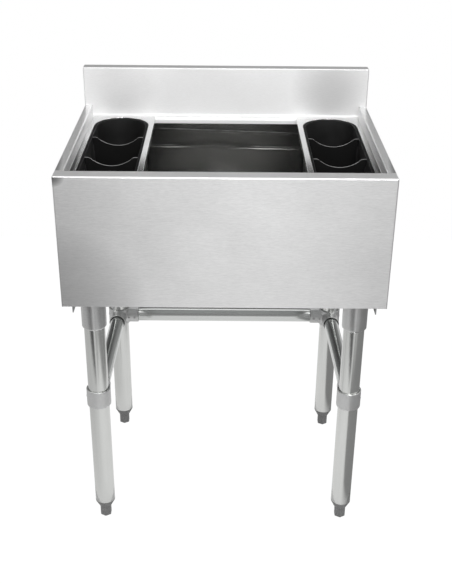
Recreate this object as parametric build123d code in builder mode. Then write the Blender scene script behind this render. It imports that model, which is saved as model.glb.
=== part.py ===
from build123d import *

import os
from math import radians, sqrt, tan

# Underbar ice bin with two bottle holders, in millimetres.
# The origin is on the floor, under the middle of the bin. The front faces -Y and +X is its right.

# Overall sizes
width = 610
depth = 470
rim_height = 800  # floor to rim
skirt_height = 258  # rim to the lower edge of the front and side panels
backsplash_rise = 82  # rim to the top of the backsplash
backsplash_thickness = 25.5
backsplash_round = 2.5
backsplash_return = 12  # how far the rear skin wraps round each corner

# Sheet metal
sheet = 1.2
bend_radius = 3  # outside of each visible bend
hem_height = 8
hem_round = 1

# Rim and mouth
front_rim = 31.5
side_rim = 16.5
rim_drop = 22  # rim down to the top of the holder plates
cove_radius = 6  # foot of the backsplash
ledge_bearing = 6  # what each holder plate rests on
ledge_flange = 12
ledge_corner = 12

# Ice tank and underside
tank_depth = 203
tank_corner = 12
tank_cove = 10
pan_recess = 3  # bottom pan above the skirt's lower edge
pan_wall = 15
pan_corner = 4
foam_gap = 0.3

# Bottle holders
holder_width = 135.2
holder_gap = 0.8  # round the outside of each plate
holder_flange = 12.7
holder_flange_gap = 1.2  # flange ends to the ledges
cutout_width = 114
cutout_margin = 8.3  # plate left at each end of the cut-out
cutout_round = 0.8
joggle_depth = 3.2
joggle_shelf = 2.8
tub_play = 0.4
tub_rim = 1.6
tub_wall = 2
tub_depth = 172
tub_draft = 1.0  # degrees
tub_foot = 14
divider_spread = 124  # between the two dividers of a tub
divider_thickness = 2.5
divider_play = 0.4
divider_drop = 0.4  # divider's top under the tub's rim
divider_seat = 0.3  # gap under each divider
divider_tab = 9
scoop_depth = 17
scoop_ease = 9
rib_thickness = 2
rib_reach = 3
rib_drop = 14  # ribs' top under the tub's rim

# Legs
front_leg_inset = 50  # from the body's side to the axis
rear_leg_inset = 57
leg_setback = 60.5  # from the body's front or back to the axis
leg_diameter = 41.3
leg_wall = 1.6
foot_height = 42

# Leg channels and sockets
channel_width = 78
channel_inset = 57  # from the body's side to the channel's middle
channel_height = 20.5
channel_thickness = 2
channel_setback = 10  # from the front and back faces
socket_diameter = 48.5
socket_drop = 74  # below the skirt
socket_chamfer = 3
socket_plate_width = 56
socket_plate_length = 84
socket_plate_thickness = 6
socket_plate_corner = 8
socket_root = 3
socket_roof = 6
socket_bolt_across = 42
socket_bolt_along = 66
bolt_diameter = 8
bolt_play = 0.3
bolt_head_width = 13
bolt_head_height = 5.3
nut_height = 6.5
bolt_stick_out = 2
tube_play = 0.1  # leg or stretcher in its castings

# Stretchers and their castings
stretcher_height = 306
stretcher_diameter = 31.75
stretcher_wall = 1.5
sleeve_diameter = 49
sleeve_height = 38
sleeve_mouth = 2.2
barrel_diameter = 37.5
barrel_reach = 45  # leg axis to the mouth
barrel_floor = 26  # leg axis to the end of the stretcher
barrel_mouth = 1.5
casting_edge = 1.2
set_screw_diameter = 6
set_screw_reach = 37  # leg axis to the screw in a barrel
set_screw_proud = 0.4
set_screw_hex = 3
set_screw_hex_depth = 1.6
spare_hole_diameter = 5
spare_hole_reach = 23.6
spare_hole_depth = 3

# Feet
foot_hex = 22  # across flats
foot_hex_height = 27
foot_rim = 2
foot_edge = 1.5
foot_gap = 0.3
stud_diameter = 10
stud_length = 62
stud_bury = 20
stud_play = 0.15
insert_length = 25
insert_play = 0.05

# Drain
drain_bore = 26.6
drain_shank = 38  # clamped through the tank and the pan
drain_shank_drop = 7  # below the skirt
drain_tail = 33.4  # takes the hose
drain_tail_length = 30
drain_flange = 62
drain_flange_thickness = 3.5
drain_dish = 90
drain_dish_depth = 6
drain_dish_margin = 2
drain_play = 0.5
gasket_width = 10
gasket_thickness = 2
locknut_width = 50
locknut_height = 8
strainer_diameter = 52
strainer_thickness = 1.5
strainer_spigot = 8
strainer_spigot_wall = 1.2
strainer_hole = 5
strainer_hole_circle = 16
strainer_play = 0.4

# Levels and faces that follow from the sizes above
half_width = width / 2
front_y = -depth / 2
back_y = depth / 2
splash_y = back_y - backsplash_thickness
rim_back_y = splash_y + sheet
seam_y = back_y - backsplash_return
mouth_x = half_width - side_rim
mouth_y = front_y + front_rim
skirt_bottom = rim_height - skirt_height
hem_top = skirt_bottom + hem_height
ledge_top = rim_height - rim_drop - sheet
cove_toe_y = splash_y - cove_radius
plate_x_out = mouth_x - holder_gap
plate_x_in = plate_x_out - holder_width
plate_front_y = mouth_y + holder_gap
plate_back_y = cove_toe_y - holder_gap
plate_mid_y = (plate_front_y + plate_back_y) / 2
ledge_x = plate_x_out - ledge_bearing
ledge_front_y = plate_front_y + ledge_bearing
ledge_back_y = plate_back_y - ledge_bearing
tank_x = ledge_x + sheet
tank_front_y = ledge_front_y - sheet
tank_back_y = ledge_back_y + sheet
tank_top = ledge_top - bend_radius
tank_floor = ledge_top - tank_depth
pan_bottom = skirt_bottom + pan_recess
pan_top = pan_bottom + sheet
web_bottom = pan_bottom - channel_thickness
inner_bend = bend_radius - sheet

sides = (("left", -1), ("right", 1))
corners = [
    (f"{end}_{side}", end_sign, hand)
    for end, end_sign in (("front", -1), ("rear", 1))
    for side, hand in sides
]

os.makedirs("parts", exist_ok=True)


def leg_place(end_sign, hand):
    # The legs stand wider apart at the front than at the back.
    inset = front_leg_inset if end_sign < 0 else rear_leg_inset
    return hand * (half_width - inset), end_sign * (depth / 2 - leg_setback)


def socket_bolt_places():
    # Four bolts round each leg axis.
    for _, end_sign, hand in corners:
        x, y = leg_place(end_sign, hand)
        for across in (-socket_bolt_across / 2, socket_bolt_across / 2):
            for along in (-socket_bolt_along / 2, socket_bolt_along / 2):
                yield x + across, y + along


def rounded_block(half, y_low, y_high, z_low, z_high, corner, foot=0):
    # A block centred on x = 0, with rounded upright edges and, where asked, a rounded foot.
    with BuildPart() as form:
        with BuildSketch(Plane.XY.offset(z_low)):
            with Locations((0, (y_low + y_high) / 2)):
                RectangleRounded(2 * half, y_high - y_low, corner)
        extrude(amount=z_high - z_low)
        if foot:
            fillet(form.faces().sort_by(Axis.Z)[0].edges(), foot)
    return form.part


def cylinders(places, radius, z_low, z_high):
    # Equal upright cylinders on the given places.
    with BuildPart() as form:
        with BuildSketch(Plane.XY.offset(z_low)):
            with Locations(*places):
                Circle(radius)
        extrude(amount=z_high - z_low)
    return form.part


def finish(builder, name):
    # Label a finished piece and write its file.
    builder.part.label = name
    export_step(builder.part, f"parts/{name}.step")


# Apron: front and side panels are one rolled form, split where they are welded


def apron_form(inset, base):
    # The solid frame between the outside and the mouth, taken in by the given depth of sheet.
    x_out = half_width - inset
    y_out = front_y + inset
    x_in = mouth_x + inset
    y_in = mouth_y - inset
    with BuildPart() as form:
        with BuildSketch(Plane.XY.offset(base)):
            with BuildLine():
                Polyline(
                    (-x_in, rim_back_y), (-x_out, rim_back_y), (-x_out, y_out), (x_out, y_out),
                    (x_out, rim_back_y), (x_in, rim_back_y), (x_in, y_in), (-x_in, y_in), close=True,
                )
            make_face()
        extrude(amount=rim_height - inset - base)
        top_edges = form.faces().sort_by(Axis.Z)[-1].edges()
        rolled = top_edges.filter_by(lambda edge: edge.center().Y < rim_back_y - sheet)
        front_corners = form.edges().filter_by(Axis.Z).group_by(Axis.Y)[0]
        fillet(rolled + front_corners, bend_radius - inset)
    return form.part


apron_solid = apron_form(0, skirt_bottom)
apron_void = apron_form(sheet, hem_top)
hem_void = rounded_block(
    half_width - 2 * sheet, front_y + 2 * sheet, depth, skirt_bottom, hem_top, bend_radius - 2 * sheet
)
with BuildPart() as apron_well:
    with BuildSketch(Plane.XY.offset(hem_top)):
        with Locations((0, mouth_y - sheet)):
            Rectangle(2 * (mouth_x + sheet), depth, align=(Align.CENTER, Align.MIN))
    extrude(amount=ledge_top - hem_top)

with BuildPart() as apron:
    add(apron_solid)
    add(apron_void, mode=Mode.SUBTRACT)
    add(apron_well.part, mode=Mode.SUBTRACT)
    add(hem_void, mode=Mode.SUBTRACT)
    foot_edges = apron.edges().group_by(Axis.Z)[0]
    outer_foot = foot_edges.filter_by(
        lambda edge: abs(edge.center().X) > half_width - sheet or edge.center().Y < front_y + sheet
    )
    fillet(outer_foot.filter_by(lambda edge: edge.center().Y < rim_back_y), hem_round)

with BuildPart() as front_panel:
    add(apron.part)
    split(bisect_by=Plane.XZ.offset(-mouth_y), keep=Keep.TOP)
finish(front_panel, "front_panel")

for side, hand in sides:
    with BuildPart() as side_panel:
        add(apron.part)
        split(bisect_by=Plane.XZ.offset(-mouth_y), keep=Keep.BOTTOM)
        split(bisect_by=Plane.YZ, keep=Keep.TOP if hand > 0 else Keep.BOTTOM)
        # The skin runs on under the end of the backsplash, to the rear skin's seam.
        with BuildSketch(Plane.XZ.offset(-rim_back_y)):
            with BuildLine():
                Polyline(
                    (hand * half_width, rim_height), (hand * half_width, skirt_bottom),
                    (hand * (half_width - 2 * sheet), skirt_bottom),
                    (hand * (half_width - 2 * sheet), hem_top), (hand * (half_width - sheet), hem_top),
                    (hand * (half_width - sheet), rim_height), close=True,
                )
            make_face()
        extrude(amount=rim_back_y - seam_y)
    finish(side_panel, f"{side}_side_panel")

# Backsplash: a hollow box on the rim whose back runs down as the body's rear skin
with BuildPart() as splash_form:
    with BuildSketch(Plane.XY.offset(skirt_bottom)):
        with Locations((0, back_y)):
            Rectangle(width, backsplash_thickness, align=(Align.CENTER, Align.MAX))
    extrude(amount=skirt_height + backsplash_rise)
    fillet(
        splash_form.edges().filter_by(Axis.Z) + splash_form.faces().sort_by(Axis.Z)[-1].edges(),
        backsplash_round,
    )

with BuildPart() as splash_void:
    with BuildSketch(Plane.XY.offset(skirt_bottom)):
        with Locations((0, back_y - sheet)):
            Rectangle(width - 2 * sheet, backsplash_thickness - 2 * sheet, align=(Align.CENTER, Align.MAX))
    extrude(amount=skirt_height + backsplash_rise - sheet)
    fillet(
        splash_void.edges().filter_by(Axis.Z) + splash_void.faces().sort_by(Axis.Z)[-1].edges(),
        backsplash_round - sheet,
    )

# Coved sheet from the rim down to the ledge, trimmed to the rolled rims at its ends
with BuildPart() as splash_cove:
    with BuildSketch(Plane.YZ):
        with BuildLine():
            down = Line((splash_y, rim_height), (splash_y, ledge_top + cove_radius))
            TangentArc(down @ 1, (cove_toe_y, ledge_top), tangent=(0, -1))
            offset(amount=sheet, side=Side.LEFT)
        make_face()
    extrude(amount=mouth_x + bend_radius, both=True)
    add(apron_solid, mode=Mode.SUBTRACT)

with BuildPart() as backsplash:
    add(splash_form.part)
    add(splash_void.part, mode=Mode.SUBTRACT)
    with BuildSketch(Plane.XY.offset(skirt_bottom)):
        with Locations((0, seam_y)):
            Rectangle(2 * width, depth, align=(Align.CENTER, Align.MAX))
    extrude(amount=skirt_height, mode=Mode.SUBTRACT)
    add(splash_cove.part)
finish(backsplash, "backsplash")

# Ledge frame: the shelf that carries the holder plates, with a flange turned down round the opening
with BuildPart() as ledge_under:
    with BuildSketch(Plane.XY.offset(ledge_top - ledge_flange)):
        Rectangle(2 * width, 2 * depth)
        with Locations((0, (tank_front_y + tank_back_y) / 2)):
            RectangleRounded(2 * tank_x, tank_back_y - tank_front_y, ledge_corner + sheet, mode=Mode.SUBTRACT)
    extrude(amount=ledge_flange - sheet)
    fillet(ledge_under.faces().sort_by(Axis.Z)[-1].inner_wires()[0].edges(), inner_bend)

with BuildPart() as ledge_frame:
    with BuildSketch(Plane.XY.offset(ledge_top)):
        with Locations((0, (mouth_y - sheet + cove_toe_y) / 2)):
            Rectangle(2 * (mouth_x + sheet), cove_toe_y - mouth_y + sheet)
        with Locations((0, (ledge_front_y + ledge_back_y) / 2)):
            RectangleRounded(2 * ledge_x, ledge_back_y - ledge_front_y, ledge_corner, mode=Mode.SUBTRACT)
    extrude(amount=-ledge_flange)
    fillet(ledge_frame.faces().sort_by(Axis.Z)[-1].inner_wires()[0].edges(), bend_radius)
    add(ledge_under.part, mode=Mode.SUBTRACT)
finish(ledge_frame, "ledge_frame")

# Ice tank: a smooth liner welded behind the flange, dished in the middle for the drain
dish_seat = tank_floor - drain_dish_depth
dish_flat = drain_flange / 2 + drain_dish_margin


def dish_form(grow, z_low, z_high):
    # The dish as a short cone, its sides grown by the given distance.
    with BuildPart() as form:
        with BuildSketch(Plane.XY.offset(z_low)):
            Circle(dish_flat + grow)
        with BuildSketch(Plane.XY.offset(z_high)):
            Circle(drain_dish / 2 + grow)
        loft()
    return form.part


def tank_form(grow, z_high, cove=0):
    # The tank's outline, grown by the given distance.
    return rounded_block(
        tank_x + grow, tank_front_y - grow, tank_back_y + grow, tank_floor - grow, z_high,
        tank_corner + grow, cove,
    )


shank_hole = drain_shank / 2 + drain_play
with BuildPart() as ice_tank:
    add(tank_form(sheet, tank_top, tank_cove + sheet))
    add(dish_form(sheet, dish_seat - sheet, tank_floor - sheet))
    add(tank_form(0, tank_top, tank_cove), mode=Mode.SUBTRACT)
    add(dish_form(0, dish_seat, tank_floor), mode=Mode.SUBTRACT)
    add(cylinders([(0, 0)], shank_hole, dish_seat - sheet, tank_floor), mode=Mode.SUBTRACT)
finish(ice_tank, "ice_tank")

# Bottom pan: a shallow tray that closes the underside, its edges turned up inside the hems
pan_half = half_width - 2 * sheet
pan_front_y = front_y + 2 * sheet
pan_back_y = back_y - sheet
with BuildPart() as bottom_pan:
    add(rounded_block(pan_half, pan_front_y, pan_back_y, pan_bottom, pan_bottom + pan_wall,
                      pan_corner, bend_radius))
    add(rounded_block(pan_half - sheet, pan_front_y + sheet, pan_back_y - sheet, pan_top,
                      pan_bottom + pan_wall, pan_corner - sheet, inner_bend), mode=Mode.SUBTRACT)
    add(cylinders(socket_bolt_places(), bolt_diameter / 2 + bolt_play, pan_bottom, pan_top),
        mode=Mode.SUBTRACT)
    add(cylinders([(0, 0)], shank_hole, pan_bottom, pan_top), mode=Mode.SUBTRACT)
finish(bottom_pan, "bottom_pan")

# Foam between the skins, the tank and the pan, with pockets for the nuts
nut_corner = bolt_head_width / sqrt(3)
foam_bottom = pan_top + foam_gap
foam_step = pan_bottom + pan_wall + foam_gap
foam_top = rim_height - bend_radius  # below the bends of the rim
foam_foot_half = pan_half - sheet - foam_gap
with BuildPart() as foam_insulation:
    add(rounded_block(half_width - sheet - foam_gap, front_y + sheet + foam_gap,
                      back_y - sheet - foam_gap, foam_step, foam_top, bend_radius))
    add(rounded_block(foam_foot_half, pan_front_y + sheet + foam_gap, pan_back_y - sheet - foam_gap,
                      foam_bottom, foam_step, pan_corner, bend_radius))
    with BuildSketch(Plane.XY.offset(ledge_top - sheet - foam_gap)):
        with Locations((0, mouth_y - sheet - foam_gap)):
            Rectangle(2 * (mouth_x + sheet + foam_gap), rim_back_y - mouth_y + sheet + 2 * foam_gap,
                      align=(Align.CENTER, Align.MIN))
    extrude(amount=rim_height - ledge_top, mode=Mode.SUBTRACT)
    add(tank_form(sheet + foam_gap, ledge_top), mode=Mode.SUBTRACT)
    add(dish_form(sheet + foam_gap, dish_seat - sheet - foam_gap, tank_floor - sheet - foam_gap),
        mode=Mode.SUBTRACT)
    add(cylinders([(0, 0)], drain_shank / 2 + foam_gap, foam_bottom, tank_floor), mode=Mode.SUBTRACT)
    add(cylinders(socket_bolt_places(), nut_corner + foam_gap, foam_bottom,
                  pan_top + nut_height + bolt_stick_out + foam_gap), mode=Mode.SUBTRACT)
finish(foam_insulation, "foam_insulation")

# Leg channels: an inverted U under each side, bolted up with the sockets
channel_length = depth - 2 * channel_setback
for side, hand in sides:
    x_low = hand * (half_width - channel_inset) - channel_width / 2
    x_high = x_low + channel_width
    z_low = pan_bottom - channel_height
    with BuildPart() as leg_channel:
        with BuildSketch(Plane.XZ):
            with BuildLine():
                FilletPolyline(
                    (x_low, z_low), (x_low, pan_bottom), (x_high, pan_bottom), (x_high, z_low),
                    radius=bend_radius,
                )
                offset(amount=channel_thickness, side=Side.RIGHT)
            make_face()
        extrude(amount=channel_length / 2, both=True)
        holes = [place for place in socket_bolt_places() if place[0] * hand > 0]
        add(cylinders(holes, bolt_diameter / 2 + bolt_play, web_bottom, pan_bottom), mode=Mode.SUBTRACT)
    finish(leg_channel, f"{side}_leg_channel")

# Leg sockets and legs
socket_bottom = skirt_bottom - socket_drop
socket_plate_z = web_bottom - socket_plate_thickness
leg_top = web_bottom - socket_roof
leg_bore = leg_diameter / 2 + tube_play
for corner, end_sign, hand in corners:
    x, y = leg_place(end_sign, hand)
    bolts = [(x + dx * socket_bolt_across / 2, y + dy * socket_bolt_along / 2)
             for dx in (-1, 1) for dy in (-1, 1)]
    with BuildPart() as leg_socket:
        with BuildSketch(Plane.XY.offset(socket_plate_z)):
            with Locations((x, y)):
                RectangleRounded(socket_plate_width, socket_plate_length, socket_plate_corner)
        extrude(amount=socket_plate_thickness)
        add(cylinders([(x, y)], socket_diameter / 2, socket_bottom, socket_plate_z))
        plate_face = leg_socket.faces().filter_by(Axis.Z).sort_by(Axis.Z)[1]
        chamfer(plate_face.inner_wires()[0].edges(), socket_root)
        chamfer(leg_socket.faces().sort_by(Axis.Z)[0].edges(), socket_chamfer)
        add(cylinders([(x, y)], leg_bore, socket_bottom, leg_top), mode=Mode.SUBTRACT)
        add(cylinders(bolts, bolt_diameter / 2 + bolt_play, socket_plate_z, web_bottom),
            mode=Mode.SUBTRACT)
    finish(leg_socket, f"{corner}_leg_socket")

    with BuildPart() as leg:
        with BuildSketch(Plane.XY.offset(foot_height)):
            with Locations((x, y)):
                Circle(leg_diameter / 2)
                Circle(leg_diameter / 2 - leg_wall, mode=Mode.SUBTRACT)
        extrude(amount=leg_top - foot_height)
    finish(leg, f"{corner}_leg")

# Bolts up through socket, channel and pan, with their nuts in the foam's pockets
with BuildPart() as socket_bolts:
    with BuildSketch(Plane.XY.offset(socket_plate_z)):
        with Locations(*socket_bolt_places()):
            RegularPolygon(bolt_head_width / 2, 6, major_radius=False)
    extrude(amount=-bolt_head_height)
    add(cylinders(socket_bolt_places(), bolt_diameter / 2, socket_plate_z,
                  pan_top + nut_height + bolt_stick_out))
finish(socket_bolts, "socket_bolts")

with BuildPart() as socket_nuts:
    with BuildSketch(Plane.XY.offset(pan_top)):
        with Locations(*socket_bolt_places()):
            RegularPolygon(bolt_head_width / 2, 6, major_radius=False)
            Circle(bolt_diameter / 2, mode=Mode.SUBTRACT)
    extrude(amount=nut_height)
finish(socket_nuts, "socket_nuts")

# Stretchers and the castings that hold them on the legs


def leg_point(end_sign, hand):
    # The point of a leg's axis that the stretchers aim at.
    return Vector(*leg_place(end_sign, hand), stretcher_height)


def barrel_directions(end_sign, hand):
    # Every casting has a barrel toward the leg behind or before it; the rear ones have one more.
    here = leg_point(end_sign, hand)
    directions = [(leg_point(-end_sign, hand) - here).normalized()]
    if end_sign > 0:
        directions.append((leg_point(end_sign, -hand) - here).normalized())
    return directions


def screw_seats(end_sign, hand):
    # Where each set screw of a casting stands on its tube, and which way it faces:
    # below the side stretcher, in front of the rear stretcher, outboard of the leg.
    here = leg_point(end_sign, hand)
    tube = stretcher_diameter / 2
    facings = [Vector(0, 0, -1), Vector(0, -1, 0)]
    for direction, facing in zip(barrel_directions(end_sign, hand), facings):
        yield here + direction * set_screw_reach + facing * tube, facing, barrel_diameter / 2 - tube
    outboard = Vector(hand, 0, 0)
    yield here + outboard * leg_diameter / 2, outboard, (sleeve_diameter - leg_diameter) / 2


for corner, end_sign, hand in corners:
    here = leg_point(end_sign, hand)
    place = (here.X, here.Y)
    directions = barrel_directions(end_sign, hand)
    sleeve_low = stretcher_height - sleeve_height / 2
    sleeve_high = stretcher_height + sleeve_height / 2
    with BuildPart() as casting:
        add(cylinders([place], sleeve_diameter / 2, sleeve_low, sleeve_high))
        chamfer(casting.edges().filter_by(GeomType.CIRCLE), casting_edge)
        for direction in directions:
            with BuildSketch(Plane(here, z_dir=direction)):
                Circle(barrel_diameter / 2)
            extrude(amount=barrel_reach)
            mouth = casting.faces().sort_by(Axis(here, direction))[-1]
            chamfer(mouth.edges(), casting_edge)
        add(cylinders([place], leg_bore, sleeve_low, sleeve_high), mode=Mode.SUBTRACT)
        for direction in directions:
            with BuildSketch(Plane(here + direction * barrel_floor, z_dir=direction)):
                Circle(stretcher_diameter / 2 + tube_play)
            extrude(amount=barrel_reach - barrel_floor, mode=Mode.SUBTRACT)
            mouth = casting.faces().sort_by(Axis(here, direction))[-1]
            chamfer(mouth.edges().sort_by(SortBy.RADIUS)[0], barrel_mouth)
        sleeve_mouths = casting.faces().filter_by(Axis.Z).sort_by(Axis.Z)
        for face in (sleeve_mouths[0], sleeve_mouths[-1]):
            chamfer(face.edges().sort_by(SortBy.RADIUS)[0], sleeve_mouth)
        for seat, facing, thickness in screw_seats(end_sign, hand):
            with BuildSketch(Plane(seat, z_dir=facing)):
                Circle(set_screw_diameter / 2)
            extrude(amount=thickness + casting_edge, mode=Mode.SUBTRACT)
        if end_sign > 0:
            # A spare tapped hole, shallow and empty, in front of the sideways barrel's root.
            spare = here + directions[1] * spare_hole_reach
            front_face = barrel_diameter / 2
            with BuildSketch(Plane(spare - Vector(0, front_face, 0), z_dir=(0, -1, 0))):
                Circle(spare_hole_diameter / 2)
            extrude(amount=-spare_hole_depth, mode=Mode.SUBTRACT)
    finish(casting, f"{corner}_{'collar' if end_sign < 0 else 'fitting'}")


def stretcher(start, stop):
    # A tube between the barrels of two castings.
    run = (stop - start).normalized()
    with BuildPart() as tube:
        with BuildSketch(Plane(start + run * barrel_floor, z_dir=run)):
            Circle(stretcher_diameter / 2)
            Circle(stretcher_diameter / 2 - stretcher_wall, mode=Mode.SUBTRACT)
        extrude(amount=(stop - start).length - 2 * barrel_floor)
    return tube


for side, hand in sides:
    finish(stretcher(leg_point(-1, hand), leg_point(1, hand)), f"{side}_stretcher")
finish(stretcher(leg_point(1, -1), leg_point(1, 1)), "rear_stretcher")

with BuildPart() as set_screws:
    for corner, end_sign, hand in corners:
        for seat, facing, thickness in screw_seats(end_sign, hand):
            with BuildSketch(Plane(seat, z_dir=facing)):
                Circle(set_screw_diameter / 2)
            extrude(amount=thickness + set_screw_proud)
            head = seat + facing * (thickness + set_screw_proud)
            with BuildSketch(Plane(head, z_dir=facing)):
                RegularPolygon(set_screw_hex / 2, 6, major_radius=False)
            extrude(amount=-set_screw_hex_depth, mode=Mode.SUBTRACT)
finish(set_screws, "set_screws")

# Feet: a hexagon to turn by hand, a cone up to the tube, a stud into the leg's insert
insert_radius = leg_diameter / 2 - leg_wall - insert_play
foot_top = foot_height - foot_gap
stud_low = foot_top - stud_bury
for corner, end_sign, hand in corners:
    place = leg_place(end_sign, hand)
    with BuildPart() as foot:
        with BuildSketch():
            with Locations(place):
                RegularPolygon(foot_hex / 2, 6, major_radius=False, rotation=30)
        extrude(amount=foot_hex_height)
        chamfer(foot.faces().sort_by(Axis.Z)[0].edges(), foot_edge)
        with BuildSketch(Plane.XY.offset(foot_hex_height)):
            with Locations(place):
                Circle(foot_hex / sqrt(3))
        with BuildSketch(Plane.XY.offset(foot_top - foot_rim)):
            with Locations(place):
                Circle(leg_diameter / 2)
        loft()
        add(cylinders([place], leg_diameter / 2, foot_top - foot_rim, foot_top))
        add(cylinders([place], stud_diameter / 2, stud_low, foot_top), mode=Mode.SUBTRACT)
    finish(foot, f"{corner}_foot")

    with BuildPart() as foot_stud:
        add(cylinders([place], stud_diameter / 2, stud_low, stud_low + stud_length))
        chamfer(foot_stud.faces().sort_by(Axis.Z)[-1].edges(), foot_edge)
    finish(foot_stud, f"{corner}_foot_stud")

    with BuildPart() as leg_insert:
        add(cylinders([place], insert_radius, foot_height, foot_height + insert_length))
        add(cylinders([place], stud_diameter / 2 + stud_play, foot_height, foot_height + insert_length),
            mode=Mode.SUBTRACT)
    finish(leg_insert, f"{corner}_leg_insert")

# Drain: body through the tank's dish and the pan, washer under its flange, nut under the pan
flange_low = dish_seat + gasket_thickness
flange_top = flange_low + drain_flange_thickness
strainer_low = flange_top - strainer_thickness
shank_end = skirt_bottom - drain_shank_drop
drain_end = shank_end - drain_tail_length
with BuildPart() as drain_body:
    add(cylinders([(0, 0)], drain_flange / 2, flange_low, flange_top))
    add(cylinders([(0, 0)], drain_shank / 2, shank_end, flange_low))
    add(cylinders([(0, 0)], drain_tail / 2, drain_end, shank_end))
    add(cylinders([(0, 0)], strainer_diameter / 2 + strainer_play, strainer_low, flange_top),
        mode=Mode.SUBTRACT)
    add(cylinders([(0, 0)], drain_bore / 2, drain_end, strainer_low), mode=Mode.SUBTRACT)
finish(drain_body, "drain_body")

with BuildPart() as drain_gasket:
    with BuildSketch(Plane.XY.offset(dish_seat)):
        Circle(shank_hole + gasket_width)
        Circle(shank_hole, mode=Mode.SUBTRACT)
    extrude(amount=gasket_thickness)
finish(drain_gasket, "drain_gasket")

with BuildPart() as drain_locknut:
    with BuildSketch(Plane.XY.offset(pan_bottom)):
        RegularPolygon(locknut_width / 2, 6, major_radius=False)
        Circle(drain_shank / 2, mode=Mode.SUBTRACT)
    extrude(amount=-locknut_height)
finish(drain_locknut, "drain_locknut")

with BuildPart() as drain_strainer:
    spigot = drain_bore / 2 - strainer_play
    add(cylinders([(0, 0)], strainer_diameter / 2, strainer_low, flange_top))
    add(cylinders([(0, 0)], spigot, strainer_low - strainer_spigot, strainer_low))
    add(cylinders([(0, 0)], spigot - strainer_spigot_wall, strainer_low - strainer_spigot, strainer_low),
        mode=Mode.SUBTRACT)
    with BuildSketch(Plane.XY.offset(strainer_low)):
        Circle(strainer_hole / 2)
        with PolarLocations(strainer_hole_circle / 2, 6):
            Circle(strainer_hole / 2)
    extrude(amount=strainer_thickness, mode=Mode.SUBTRACT)
finish(drain_strainer, "drain_strainer")

# Bottle holders: plate, tub and two dividers at each end of the mouth
plate_half = holder_width / 2
plate_length = plate_back_y - plate_front_y
cutout_length = plate_length - 2 * cutout_margin
shelf_top = ledge_top + sheet - joggle_depth
joggle_radius = cutout_width / 2
shelf_radius = joggle_radius - joggle_shelf
slot_straight = cutout_length - cutout_width
rim_top = shelf_top + tub_rim
tub_radius = shelf_radius - tub_play
tub_bottom = rim_top - tub_depth


def slot(mid_x, radius, z_low, z_high, taper=0):
    # An upright stadium between two levels, drawn on the upper one and narrowing downward.
    with BuildPart() as form:
        with BuildSketch(Plane.XY.offset(z_high)):
            with Locations((mid_x, plate_mid_y)):
                SlotCenterToCenter(slot_straight, 2 * radius, rotation=90)
        extrude(amount=z_low - z_high, taper=taper)
    return form.part


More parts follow.
